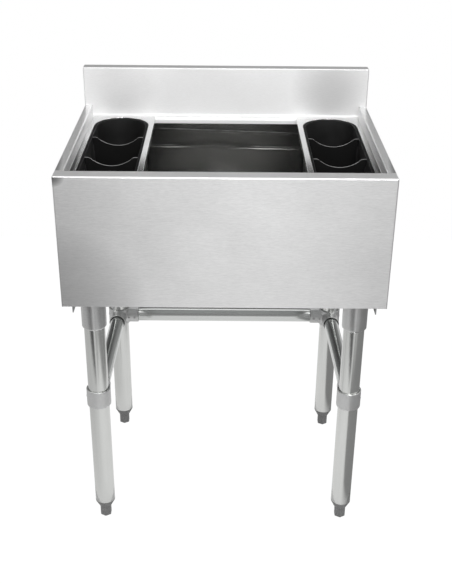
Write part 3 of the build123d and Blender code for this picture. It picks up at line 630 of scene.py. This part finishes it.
def ledgeFrame():
    # Outline to outline: mouth rectangle, opening grown by the bend, the bend's arc, the flange's foot.
    a = ledge
    _, centres, normals = roundedRectangle(a["x"], a["front"], a["back"], a["corner"])
    opening = lambda grow: centres + (a["corner"] + grow) * normals
    outer = toRectangle(centres, normals, apron["mouthX"], apron["mouthY"], splash["toe"])
    side = np.abs(outer[:, 0]) > apron["mouthX"] + 1  # rays from a corner's centre that end too far out
    outer[side, 0] = np.sign(outer[side, 0]) * apron["mouthX"]
    fold, top = a["bend"], a["top"]
    levels = [(outer, top), (opening(fold + a["hold"]), top)]
    levels += [(opening(grow), z) for grow, z in arc((fold, top - fold), fold, 90, 180, 8)]
    levels += [(opening(0), a["foot"] + a["hold"]), (opening(0), a["foot"])]
    piece = ringSheet("ledge_frame_skin", levels)
    place(piece, "bin", ["ledge_frame"], splashSteel)


ledgeFrame()

tank = {
    "x": tankHigh[0] - sheet,
    "front": tankLow[1] + sheet,
    "back": tankHigh[1] - sheet,
    "top": tankHigh[2],
    "corner": 12.0,
    "cove": 10.0,
    "floor": ledgeHigh[2] - 203.0,
    "dish": 45.0,  # radius where the dish begins
    "flat": 33.0,  # and where it ends
    "dishDepth": 6.0,
    "hole": 17.2,
    "rows": 150,  # rings down the wall, close enough for the ripples
    # Faint ripples across the rear wall: height under the rim at the middle, fall toward the right,
    # height and place of a hump, its half width, then the ripple's depth and half height.
    "ripples": [(27.0, 0.03, 0.0, 0.0, 1.0, 0.8, 2.2), (62.0, 0.012, 9.0, -30.0, 38.0, 0.95, 2.8)],
}


def ripple(grid):
    # On the rear wall, y moves by depth exp(-((z - line) / high)^2), where the line falls evenly toward
    # the right and rises by hump exp(-((x - place) / wide)^2).
    a = tank
    x, y, z = grid[..., 0], grid[..., 1], grid[..., 2]
    rear = y > a["back"] - 1
    for under, fall, hump, spot, wide, depth, high in a["ripples"]:
        line = a["top"] - under - fall * x + hump * np.exp(-(((x - spot) / wide) ** 2))
        grid[..., 1] -= rear * depth * np.exp(-(((z - line) / high) ** 2))
    return grid


def iceTank():
    # The inside of the liner, top to drain: wall, coved foot, floor, then a dish whose rings turn from
    # the tank's outline into circles on the same rays.
    a = tank
    _, centres, normals = roundedRectangle(a["x"], a["front"], a["back"], a["corner"], 12, 16)
    outline = lambda shrink: centres + (a["corner"] - shrink) * normals
    middle = np.array([0.0, (a["front"] + a["back"]) / 2])
    edge, floor, cove = outline(a["cove"]), a["floor"], a["cove"]
    rays = (edge - middle) / np.linalg.norm(edge - middle, axis=1)[:, None]
    circle = lambda radius: middle + rays * radius
    levels = [(outline(0), height) for height in np.linspace(a["top"], floor + cove, a["rows"])]
    levels += [(outline(shrink), z) for shrink, z in arc((cove, floor + cove), cove, 180, 270, 8)[1:]]
    for share in np.linspace(0, 1, 9)[1:]:
        levels.append((edge * (1 - share) + circle(a["dish"]) * share, floor))
    for share in np.linspace(0, 1, 5)[1:]:
        ease = share * share * (3 - 2 * share)
        levels.append((circle(a["dish"] + (a["flat"] - a["dish"]) * share), floor - a["dishDepth"] * ease))
    levels.append((circle(a["hole"]), floor - a["dishDepth"]))
    piece = ringSheet("ice_tank_liner", levels, angle=50, shape=ripple)
    place(piece, "bin", ["ice_tank"], linerSteel)


iceTank()
print("body made")

# Bottle holders

holder = {
    "cutout": 57.0,  # half its width
    "margin": 8.3,
    "joggle": 3.2,
    "shelf": 2.8,
    "lip": 0.9,  # round at the joggle's upper edge
    "hold": 0.5,  # a ring this far from the lip keeps the plate flat
    "nook": 0.3,  # at the joggle's foot
    "edge": 0.35,  # broken all round the plate
    "flangeGap": 1.2,  # to the ledges
    "play": 0.4,
    "rim": 1.6,
    "rimRound": 0.6,
    "wall": 2.0,
    "wallRound": 0.7,  # where the wall turns into the rim
    "draft": 1.0,
    "foot": 14.0,
    "ribOut": 3.0,
    "ribThick": 2.0,
    "ribDrop": 14.0,
    "ribEase": 1.0,  # how far its top leans back
    "ribRound": 0.6,
}


def holderPlate(side, hand):
    a = holder
    low, high = span(side + "_holder_plate")
    halfX, halfY, top = (high[0] - low[0]) / 2, (high[1] - low[1]) / 2, high[2]
    radius, half = a["cutout"], halfY - a["margin"] - a["cutout"]
    outline = lambda grow: stadium(radius + grow, half)[0]
    _, centres, normals = stadium(radius, half)
    outer = toRectangle(centres, normals, halfX, -halfY, halfY)
    edge = outer - np.sign(outer) * (np.abs(outer) > [halfX - 0.01, halfY - 0.01]) * a["edge"]
    shelf, lip, nook = top - a["joggle"], a["lip"], a["nook"]
    levels = [(outer, top - a["edge"]), (edge, top), (outline(lip + a["hold"]), top)]
    levels += [(outline(grow), z) for grow, z in arc((lip, top - lip), lip, 90, 180, 5)]
    levels += [(outline(0), shelf + nook), (outline(-nook), shelf), (outline(-a["shelf"]), shelf)]
    plate = ringSheet(side + "_plate_skin", levels, (low + high) / 2)
    # The stiffening flange under the inner edge: a plate one sheet thick.
    inner = high[0] if hand < 0 else low[0]
    x = sorted((inner, inner + hand * sheet))
    y = (ledge["front"] + a["flangeGap"], ledge["back"] - a["flangeGap"])
    points = [(x[i], y[j], z) for z in (low[2], top - sheet) for j in (0, 1) for i in (0, 1)]
    box = quadMesh("flange", points, np.array([
        (0, 2, 3, 1), (4, 5, 7, 6), (0, 1, 5, 4), (2, 6, 7, 3), (0, 4, 6, 2), (1, 3, 7, 5)]))
    plate.data = joinMeshes(side + "_plate_skin", [plate.data, box])
    smooth(plate, 35)
    place(plate, side + "_holder", [side + "_holder_plate"], brightSteel)


def guideRib(x, y, hand, wall, heights):
    # One rib: a six-sided outline at each height, from inside the wall to the rib's rounded edge.
    a = holder
    outer, inner = wall + a["wall"] * 0.5, wall - a["ribOut"]
    inner[-1] += a["ribEase"]
    neck = inner + a["ribRound"]
    loop = [(outer, -1), (neck, -1), (inner, -0.55), (inner, 0.55), (neck, 1), (outer, 1)]
    points = np.stack([
        np.stack([x + hand * reach, np.full_like(reach, y + half * a["ribThick"] / 2), heights], -1)
        for reach, half in loop], axis=1)
    return cleanMesh(gridMesh("rib", points), 0, True)


def bottleTub(side):
    # Rings from the middle of the inside floor, up the drafted wall, over the rim and down the outside.
    a = holder
    low, high = span(side + "_bottle_tub")
    mid = (low + high) / 2
    half = (high[1] - low[1] - high[0] + low[0]) / 2
    rimRadius = (high[0] - low[0]) / 2
    neck = a["cutout"] - a["shelf"] - a["play"]
    lean = math.tan(math.radians(a["draft"]))
    top, bottom, foot = high[2], low[2], a["foot"]
    rimFoot, floor, cove = top - a["rim"], bottom + a["wall"], foot - a["wall"]
    outside = lambda z: neck - (rimFoot - z) * lean
    inside = lambda z: neck - a["wall"] - (top - z) * lean
    turn, rimTurn = a["wallRound"], a["rimRound"]
    profile = [(0.0, floor), (6.0, floor), (18.0, floor)]
    profile += arc((inside(floor + cove) - cove, floor + cove), cove, -90, a["draft"], 10)
    profile += [(inside(z), z) for z in np.linspace(floor + cove, top - 1.0, 14)[1:]]
    profile += arc((inside(top) + turn, top - turn), turn, 180, 90, 4)
    profile += arc((rimRadius - rimTurn, top - rimTurn), rimTurn, 90, 0, 4)
    profile += [(rimRadius, rimFoot), (outside(rimFoot), rimFoot)]
    profile += [(outside(z), z) for z in np.linspace(rimFoot, bottom + foot, 14)[1:]]
    profile += arc((outside(bottom + foot) - foot, bottom + foot), foot, 0, -90, 10)[1:]
    profile += [(18.0, bottom), (6.0, bottom), (0.0, bottom)]
    _, centres, normals = stadium(1.0, half, 40, 12)
    grid = rings([(centres + radius * normals, z) for radius, z in profile], mid)
    piece = newObject(side + "_tub_shell", cleanMesh(gridMesh(side + "_tub", grid), 0.01))
    # Guide ribs on both sides of each divider: they follow the wall's draft and the cove at its foot.
    heights = np.linspace(floor + cove * 0.35, top - a["ribDrop"], 16)
    drop = np.clip(floor + cove - heights, 0, cove)
    wall = inside(heights) - (cove - np.sqrt(cove**2 - drop**2))
    ribs = []
    for end, _ in ends:
        dividerLow, dividerHigh = span(f"{side}_{end}_divider")
        middle, thick = (dividerLow[1] + dividerHigh[1]) / 2, dividerHigh[1] - dividerLow[1]
        for before in (-1, 1):
            y = middle + before * (thick / 2 + a["play"] + a["ribThick"] / 2)
            ribs += [guideRib(mid[0], y, hand, wall, heights) for _, hand in sides]
    piece.data = joinMeshes(side + "_tub_shell", [piece.data] + ribs)
    smooth(piece)
    place(piece, side + "_tub", [side + "_bottle_tub"], blackPlastic)
    finishSide(piece, mattPlastic, (0, 0, 1), 0.97)  # the flat of the rim is etched dull


dividerForm = {"tab": 9.0, "scoop": 17.0, "ease": 9.0, "round": 0.7, "foot": 14.0}


def divider(side, end):
    # Outline: two tabs, a scoop that is one arc eased into them, drafted sides and rounded lower corners.
    # An easing arc of radius e, tangent to the tab's top and to the scoop's circle of radius r, has its
    # centre e below the top and r + e from the scoop's centre.
    a = dividerForm
    low, high = span(f"{side}_{end}_divider")
    mid, top, foot = (low[0] + high[0]) / 2, high[2], low[2]
    halfTop = (high[0] - low[0]) / 2
    lean = math.tan(math.radians(holder["draft"]))
    halfLow = halfTop - (top - foot) * lean
    chord = halfTop - a["tab"]
    r = (chord**2 + a["scoop"]**2) / (2 * a["scoop"])
    e = a["ease"]
    centreZ = top + r - a["scoop"]
    easeX = math.sqrt((r + e) ** 2 - (centreZ - top + e) ** 2)
    meet = math.degrees(math.atan2(top - e - centreZ, easeX))
    right = [(halfTop, top)] + arc((easeX, top - e), e, 90, 180 + meet, 6)
    scoop = arc((0, centreZ), r, meet, -180 - meet, 28)
    left = [(-x, z) for x, z in right][::-1]
    rc = a["foot"]
    lower = arc((-halfLow + rc, foot + rc), rc, 180, 270, 8) + arc((halfLow - rc, foot + rc), rc, 270, 360, 8)
    outline = np.array(right + scoop[1:-1] + left + lower)
    count = len(outline)
    points = np.concatenate([
        np.column_stack([outline[:, 0] + mid, np.full(count, y), outline[:, 1]]) for y in (low[1], high[1])])
    around = np.arange(count)
    faces = [tuple(around), tuple(around[::-1] + count)]
    faces += [(i, i + count, (i + 1) % count + count, (i + 1) % count) for i in range(count)]
    name = f"{side}_{end}_scoop"
    mesh = bpy.data.meshes.new(name)
    mesh.from_pydata((points * mm).tolist(), [], faces)
    piece = newObject(name, cleanMesh(mesh, 0.005))
    rounding = piece.modifiers.new("edges", "BEVEL")
    rounding.width = a["round"] * mm
    rounding.segments = 3
    rounding.angle_limit = math.radians(60)
    smooth(baked(piece))
    place(piece, f"{side}_{end}_divider", [f"{side}_{end}_divider"], mattPlastic)
    finishSide(piece, edgeHighlightPlastic, (0, 0, 1), 0.75)  # painted highlight: the upward-facing edge is paler than the moulded faces


for side, hand in sides:
    holderPlate(side, hand)
    bottleTub(side)
    for end, _ in ends:
        divider(side, end)
print("holders made")

# Legs, sockets, castings, stretchers and feet

legCorners = [f"{end}_{side}" for end, _ in ends for side, _ in sides]
tubes = {"leg": 41.3, "legWall": 1.6, "stretcher": 31.75, "stretcherWall": 1.5, "edge": 0.4, "steps": 128}


def tube(name, start, stop, diameter, wall):
    # A tube between two points, its ends lightly broken.
    start, stop = np.array(start, float), np.array(stop, float)
    length = np.linalg.norm(stop - start)
    r, i, e = diameter / 2, diameter / 2 - wall, tubes["edge"]
    heights = np.linspace(e, length - e, 9)
    profile = [(r - e, 0)] + [(r, z) for z in heights] + [(r - e, length), (i, length)]
    profile += [(i, z) for z in heights[::-1]] + [(i, 0), (r - e, 0)]
    mesh = turned(name, profile, tubes["steps"])
    return smooth(newObject(name, aimed(mesh, start, stop - start)), 50)


def legs():
    for corner in legCorners:
        low, high = span(corner + "_leg")
        x, y, _ = middleOf(corner + "_leg")
        piece = tube(corner + "_leg_tube", (x, y, low[2]), (x, y, high[2]), tubes["leg"], tubes["legWall"])
        place(piece, "bin", [corner + "_leg"], tubeSteel)


castings = {
    "height": 306.0,
    "sleeve": 49.0,
    "sleeveTall": 38.0,
    "barrel": 37.5,
    "reach": 45.0,
    "floor": 26.0,
    "screw": 37.0,
    "screwSize": 6.0,
    "spare": 23.6,
    "spareSize": 5.0,
    "spareDepth": 3.0,
    "mouth": 1.6,
    "play": 0.15,
    "voxel": 0.8,
    "screwStart": 10,  # from the leg's axis, inside the bore
    "sideScrewStart": 15,
    "past": 2,  # how far a bore's cutter stands out
    "holePast": 3,
}


def legPoint(end, side):
    x, y, _ = middleOf(f"{end}_{side}_leg")
    return np.array([x, y, castings["height"]])


def directionsOf(end, side):
    # Toward the leg before or behind; the rear castings also aim at each other.
    here = legPoint(end, side)
    targets = [legPoint("rear" if end == "front" else "front", side)]
    if end == "rear":
        targets.append(legPoint(end, "left" if side == "right" else "right"))
    return [(target - here) / np.linalg.norm(target - here) for target in targets]


def plug(name, centre, direction, profile, steps=72):
    # A closed turned solid on an axis, for a boolean.
    return newObject(name, aimed(turned(name, profile, steps), centre, direction))


def drum(radius, low, high):
    return [(0, low), (radius, low), (radius, high), (0, high)]


def casting(end, side, hand):
    # Sleeve and barrels as one skin: closed drums joined, turned into one volume, its corners softened,
    # then bored for the tubes and drilled for the screws.
    a = castings
    here, up = legPoint(end, side), (0, 0, 1)
    half, face = a["sleeveTall"] / 2, a["barrel"] / 2
    aims = directionsOf(end, side)
    drums = [aimed(turned("drum", drum(a["sleeve"] / 2, -half, half)), here, up)]
    drums += [aimed(turned("drum", drum(face, 0, a["reach"])), here, aim) for aim in aims]
    name = f"{end}_{side}_" + ("collar" if end == "front" else "fitting")
    piece = newObject(name + "_cast", joinMeshes("cast", drums))
    volume = piece.modifiers.new("volume", "REMESH")
    volume.mode = "VOXEL"
    volume.voxel_size = a["voxel"] * mm
    soften = piece.modifiers.new("soften", "SMOOTH")
    soften.factor = 0.5
    soften.iterations = 7
    baked(piece)
    legBore, tubeBore = tubes["leg"] / 2 + a["play"], tubes["stretcher"] / 2 + a["play"]
    screwBore, past, holePast, m = a["screwSize"] / 2 + a["play"], a["past"], a["holePast"], a["mouth"]
    cutters = [plug("bore", here, up, [
        (0, -half - past), (legBore + m + past, -half - past), (legBore, -half + m), (legBore, half - m),
        (legBore + m + past, half + past), (0, half + past)])]
    for aim, facing in zip(aims, [(0, 0, -1), (0, -1, 0)]):
        cutters.append(plug("bore", here, aim, [
            (0, a["floor"]), (tubeBore, a["floor"]), (tubeBore, a["reach"] - m),
            (tubeBore + m + past, a["reach"] + past), (0, a["reach"] + past)]))
        screw = drum(screwBore, a["screwStart"], face + holePast)
        cutters.append(plug("hole", here + aim * a["screw"], facing, screw, 24))
    sideScrew = drum(screwBore, a["sideScrewStart"], a["sleeve"] / 2 + holePast)
    cutters.append(plug("hole", here, (hand, 0, 0), sideScrew, 24))
    if end == "rear":
        spare = drum(a["spareSize"] / 2, face - a["spareDepth"], face + holePast)
        cutters.append(plug("hole", here + aims[1] * a["spare"], (0, -1, 0), spare, 24))
    for cutter in cutters:
        cut = piece.modifiers.new("cut", "BOOLEAN")
        cut.operation = "DIFFERENCE"
        cut.solver = "EXACT"
        cut.object = cutter
    baked(piece)
    for cutter in cutters:
        bpy.data.objects.remove(cutter)
    smooth(piece, 38)
    place(piece, "bin", [name], castAlloy)


def stretcher(name, start, stop):
    # A tube between two legs' points, from the floor of one barrel to the floor of the other.
    inset = (stop - start) / np.linalg.norm(stop - start) * castings["floor"]
    piece = tube(name + "_tube", start + inset, stop - inset, tubes["stretcher"], tubes["stretcherWall"])
    place(piece, "bin", [name], flatTubeSteel)


socket = {
    "radius": 24.25,
    "chamfer": 3.0,
    "bore": 20.9,
    "roof": 6.0,
    "plate": 6.0,
    "plateRound": 0.8,
    "sunk": 1,  # how far the barrel reaches into the plate
    "root": 4.0,
    "corner": 8.0,
}


def legSocket(corner):
    # A turned barrel with a soft chamfer at its mouth, under a flat plate with rounded corners.
    a = socket
    low, high = span(corner + "_leg_socket")
    (x, y, _), (halfX, halfY, _) = (low + high) / 2, (high - low) / 2
    bottom, top, roof, plateLow = low[2], high[2], high[2] - a["roof"], high[2] - a["plate"]
    r, c, bore, root, soft = a["radius"], a["chamfer"], a["bore"], a["root"], a["plateRound"]
    profile = [
        (0, roof), (bore, roof), (bore, bottom + 0.8), (bore + 0.5, bottom), (r - c - 0.2, bottom),
        (r - c + 0.3, bottom + 0.2), (r - 0.4, bottom + c - 0.4), (r - 0.05, bottom + c + 0.3),
    ]
    profile += [(r, z) for z in np.linspace(bottom + c + 1.2, plateLow - root, 6)]
    profile += arc((r + root, plateLow - root), root, 180, 90, 6)[1:]
    profile += [(r + root - 0.5, plateLow + a["sunk"]), (0, plateLow + a["sunk"])]
    barrel = aimed(turned("barrel", profile), (x, y, 0), (0, 0, 1))
    outline, _, _ = roundedRectangle(halfX, -halfY, halfY, a["corner"], 8, 2)
    inner, _, _ = roundedRectangle(halfX - soft, -halfY + soft, halfY - soft, a["corner"] - soft, 8, 2)
    centre = inner * 0.02
    grid = rings([
        (centre, top), (inner, top), (outline, top - soft), (outline, plateLow + soft), (inner, plateLow),
        (centre, plateLow)], (x, y))
    plate = cleanMesh(gridMesh("plate", grid), 0, True)
    piece = smooth(newObject(corner + "_socket_cast", joinMeshes("socket", [barrel, plate])))
    place(piece, "bin", [corner + "_leg_socket"], socketAlloy)


foot = {
    "hex": 22.0,
    "hexTall": 24.5,
    "hexRound": 0.35,  # taken off its corners
    "rim": 2.0,
    "rimRound": 0.6,
    "edge": 1.2,
    "coneStep": 0.3,  # the cone's foot stands out from the hexagon's corners
    "stud": 5.0,
    "studDeep": 6,
}


def levellingFoot(corner):
    # Rings from the floor up. A hexagon's radius at an angle is its half width over the cosine of the
    # angle to the nearest flat's middle, cut off at its corners; the cone's rings are circles.
    a = foot
    low, high = span(corner + "_foot")
    top, topRadius, soft = high[2], (high[0] - low[0]) / 2, a["rimRound"]
    angle = np.linspace(0, 2 * np.pi, 96, endpoint=False)
    flat = ((angle + np.pi / 6) % (np.pi / 3)) - np.pi / 6
    half, point = a["hex"] / 2, a["hex"] / 2 / math.cos(math.pi / 6)
    hexagon = np.minimum(half / np.cos(flat), point - a["hexRound"])
    circle = lambda radius: np.full_like(angle, radius)  # the same radius all round
    tall, edge, coneFoot = a["hexTall"], a["edge"], a["hex"] / math.sqrt(3) + a["coneStep"]
    levels = [(0 * hexagon, 0.0), (hexagon - 4, 0.0), (hexagon - edge, 0.0), (hexagon - 0.3, edge * 0.5)]
    levels += [(hexagon, z) for z in [edge * 1.3, *np.linspace(4, tall - 0.8, 6)]]
    for share in np.linspace(0, 1, 8):
        radius = coneFoot + (topRadius - coneFoot) * share
        levels.append((circle(radius), tall + (top - a["rim"] - tall) * share))
    levels += [(circle(topRadius), top - soft), (circle(topRadius - soft), top)]
    levels += [(circle(radius), z) for radius, z in (
        (a["stud"], top), (a["stud"], top - a["studDeep"]), (0, top - a["studDeep"]))]
    around = np.stack([np.cos(angle), np.sin(angle)], -1)
    grid = rings([(radius[:, None] * around, z) for radius, z in levels], middleOf(corner + "_foot"))
    piece = smooth(newObject(corner + "_foot_moulding", cleanMesh(gridMesh("foot", grid), 0.01)), 32)
    place(piece, corner + "_foot", [corner + "_foot"], footPlastic)


channelSheet = 2.0


def legChannel(side):
    # An inverted U with rounded folds, open at both ends.
    (x0, y0, z0), (x1, y1, z1) = span(side + "_leg_channel")
    corners = [(x, y, z) for x in (x0, x1) for y, z in ((y0, z0), (y1, z0), (y1, z1), (y0, z1))]
    faces = [(1, 0, 3, 2), (3, 7, 6, 2), (4, 5, 6, 7)]
    folds = {(2, 3): bend, (6, 7): bend}
    piece = foldedSheet(side + "_channel_sheet", corners, faces, folds, channelSheet)
    place(piece, "bin", [side + "_leg_channel"], galvanised)


legs()
for side, _ in sides:
    stretcher(side + "_stretcher", legPoint("front", side), legPoint("rear", side))
stretcher("rear_stretcher", legPoint("rear", "left"), legPoint("rear", "right"))
for end, _ in ends:
    for side, hand in sides:
        casting(end, side, hand)
for corner in legCorners:
    legSocket(corner)
    levellingFoot(corner)
for side, _ in sides:
    legChannel(side)
print("stand made")

# The nodes that stay as they are get their finishes

finishes = {
    "bottom_pan": galvanised, "socket_bolts": fastenerSteel, "socket_nuts": fastenerSteel,
    "set_screws": fastenerSteel, "foam_insulation": foamMaterial, "drain_body": drainPlastic,
    "drain_locknut": drainPlastic, "drain_gasket": gasketRubber, "drain_strainer": brightSteel,
}
for corner in legCorners:
    finishes[corner + "_foot_stud"] = fastenerSteel
    finishes[corner + "_leg_insert"] = insertPlastic
for name, material in finishes.items():
    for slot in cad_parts[name].material_slots:
        slot.material = material

# Studio: white floor, soft lamps, and a sky whose tone depends only on direction

studio = {
    "paper": (-1300.0, 1300.0, -760.0, 1300.0),  # the floor paper's left, right, front and back edges
    "paperLow": -0.2,  # just under the feet
    "paperTone": 0.86,
    "paperShown": 0.9,  # how far the camera sees plain white instead of the paper's shading
    "white": 1.06,
    # What metal sees of the floor: its tone from the left edge to the right, dark beside the bin.
    "paperSeen": [
        (-1300, 0.45), (-700, 0.55), (-330, 0.68), (-200, 0.8), (0, 0.84), (255, 0.8), (310, 0.16),
        (1300, 0.12),
    ],
    "seenShare": 0.85,
}


def toneRamp(tree, value, stops, low, high, between="EASE"):
    # Greys by position on a range.
    ramp = tree.nodes.new("ShaderNodeValToRGB")
    ramp.color_ramp.interpolation = between
    points = ramp.color_ramp.elements
    while len(points) > 1:
        points.remove(points[-1])
    for number, (where, tone) in enumerate(stops):
        share = (where - low) / (high - low)
        spot = points[0] if number == 0 else points.new(share)
        spot.position = share
        spot.color = grey(tone)
    tree.links.new(value, ramp.inputs["Fac"])
    return ramp.outputs["Color"]


def addFloor():
    a = studio
    left, right, front, back = a["paper"]
    across, along = np.linspace(left, right, 9), np.linspace(front, back, 9)
    grid = np.stack(np.meshgrid(across, along) + [np.full((9, 9), a["paperLow"])], -1)
    floor = newObject("floor", gridMesh("floor", grid, loopAround=False))
    material, tree, shader = startMaterial("floorPaper")
    tree.nodes.remove(shader)
    ray = addNode(tree, "ShaderNodeLightPath").outputs
    paper = addNode(tree, "ShaderNodeBsdfDiffuse", {"Color": grey(a["paperTone"])}).outputs[0]
    white = addNode(tree, "ShaderNodeEmission", {"Color": grey(1), "Strength": a["white"]}).outputs[0]
    coordinates = addNode(tree, "ShaderNodeTexCoord").outputs["Object"]
    across = addNode(tree, "ShaderNodeSeparateXYZ", {0: coordinates}).outputs["X"]
    across = mapRange(tree, across, 0, 1, left * mm, right * mm)
    tone = toneRamp(tree, across, a["paperSeen"], left, right, "LINEAR")
    mirrored = addNode(tree, "ShaderNodeEmission", {"Color": tone}).outputs[0]
    seen = addMath(tree, "MAXIMUM", ray["Is Camera Ray"], ray["Is Transmission Ray"])
    surface = paper
    mixes = [(a["seenShare"], ray["Is Glossy Ray"], mirrored), (a["paperShown"], seen, white)]
    for share, kind, other in mixes:
        factor = addMath(tree, "MULTIPLY", kind, share)
        surface = addNode(tree, "ShaderNodeMixShader", {0: factor, 1: surface, 2: other}).outputs[0]
    tree.links.new(surface, tree.nodes["Material Output"].inputs["Surface"])
    floor.data.materials.append(material)


# Grey of the studio by compass angle, in degrees from the front toward the right: far below the
# horizon, below it, and round it and a little above. It is one grey overhead. The pairs are the
# heights, as the sine of the angle over the horizon, between which one band turns into the next.
sky = {
    "deep": [
        (-180, 1.0), (-125, 0.9), (-80, 0.25), (-48, 0.06), (-30, 0.03), (-12, 0.02), (-5, 0.45), (3, 0.85),
        (9, 0.5), (18, 0.4), (28, 0.5), (45, 0.3), (60, 0.2), (120, 0.2), (150, 0.9), (180, 1.0),
    ],
    "low": [
        (-180, 1.0), (-125, 0.9), (-80, 0.35), (-48, 0.3), (-30, 0.42), (-12, 0.4), (-4, 0.8), (3, 1.05),
        (8, 0.5), (18, 0.3), (28, 0.5), (45, 0.3), (60, 0.2), (120, 0.2), (150, 0.9), (180, 1.0),
    ],
    "middle": [
        (-180, 0.12), (-166, 0.05), (-130, 0.25), (-80, 0.5), (-30, 0.35), (0, 0.3), (30, 0.35), (80, 0.5),
        (140, 0.35), (170, 0.1), (180, 0.12),
    ],
    "top": 1.2,
    "deepToLow": (-0.47, -0.36),
    "lowToMiddle": (-0.14, 0.06),
    "middleToTop": (0.62, 0.86),
}


def addSky():
    world = bpy.data.worlds.new("studio")
    bpy.context.scene.world = world
    world.use_nodes = True
    tree = world.node_tree
    direction = addNode(tree, "ShaderNodeTexCoord").outputs["Generated"]
    axes = addNode(tree, "ShaderNodeSeparateXYZ", {0: direction}).outputs
    turn = addMath(tree, "ARCTAN2", axes["X"], addMath(tree, "MULTIPLY", axes["Y"], -1.0))
    turn = mapRange(tree, turn, 0, 1, -math.pi, math.pi)
    band = lambda name: toneRamp(tree, turn, sky[name], -180, 180)
    rise = lambda name: mapRange(tree, axes["Z"], 0, 1, *sky[name])
    tone = mixColor(tree, rise("deepToLow"), band("deep"), band("low"))
    tone = mixColor(tree, rise("lowToMiddle"), tone, band("middle"))
    tone = mixColor(tree, rise("middleToTop"), tone, grey(sky["top"]))
    ray = addNode(tree, "ShaderNodeLightPath").outputs
    tone = mixColor(tree, ray["Is Camera Ray"], tone, grey(1))
    tree.links.new(tone, tree.nodes["Background"].inputs["Color"])


# Lamps: name, place and target in metres, width and height, watts
lamps = [
    ("key", (0.2, -2.3, 2.4), (0, 0.1, 0.75), (1.6, 0.9), 44),
    ("right", (2.2, -0.9, 1.9), (0, 0, 0.6), (0.9, 1.4), 12),
    ("left", (-2.2, -0.9, 1.9), (0, 0, 0.6), (0.9, 1.4), 8),
]


def addLamp(name, spot, target, size, power):
    lamp = bpy.data.lights.new(name, "AREA")
    lamp.shape = "RECTANGLE"
    lamp.size, lamp.size_y = size
    lamp.energy = power
    stand = newObject(name, lamp)
    stand.location = spot
    stand.rotation_euler = (Vector(target) - Vector(spot)).to_track_quat("-Z", "Y").to_euler()


addFloor()
addSky()
for lamp in lamps:
    addLamp(*lamp)
bpy.context.scene.view_settings.view_transform = "Standard"
print("studio made")
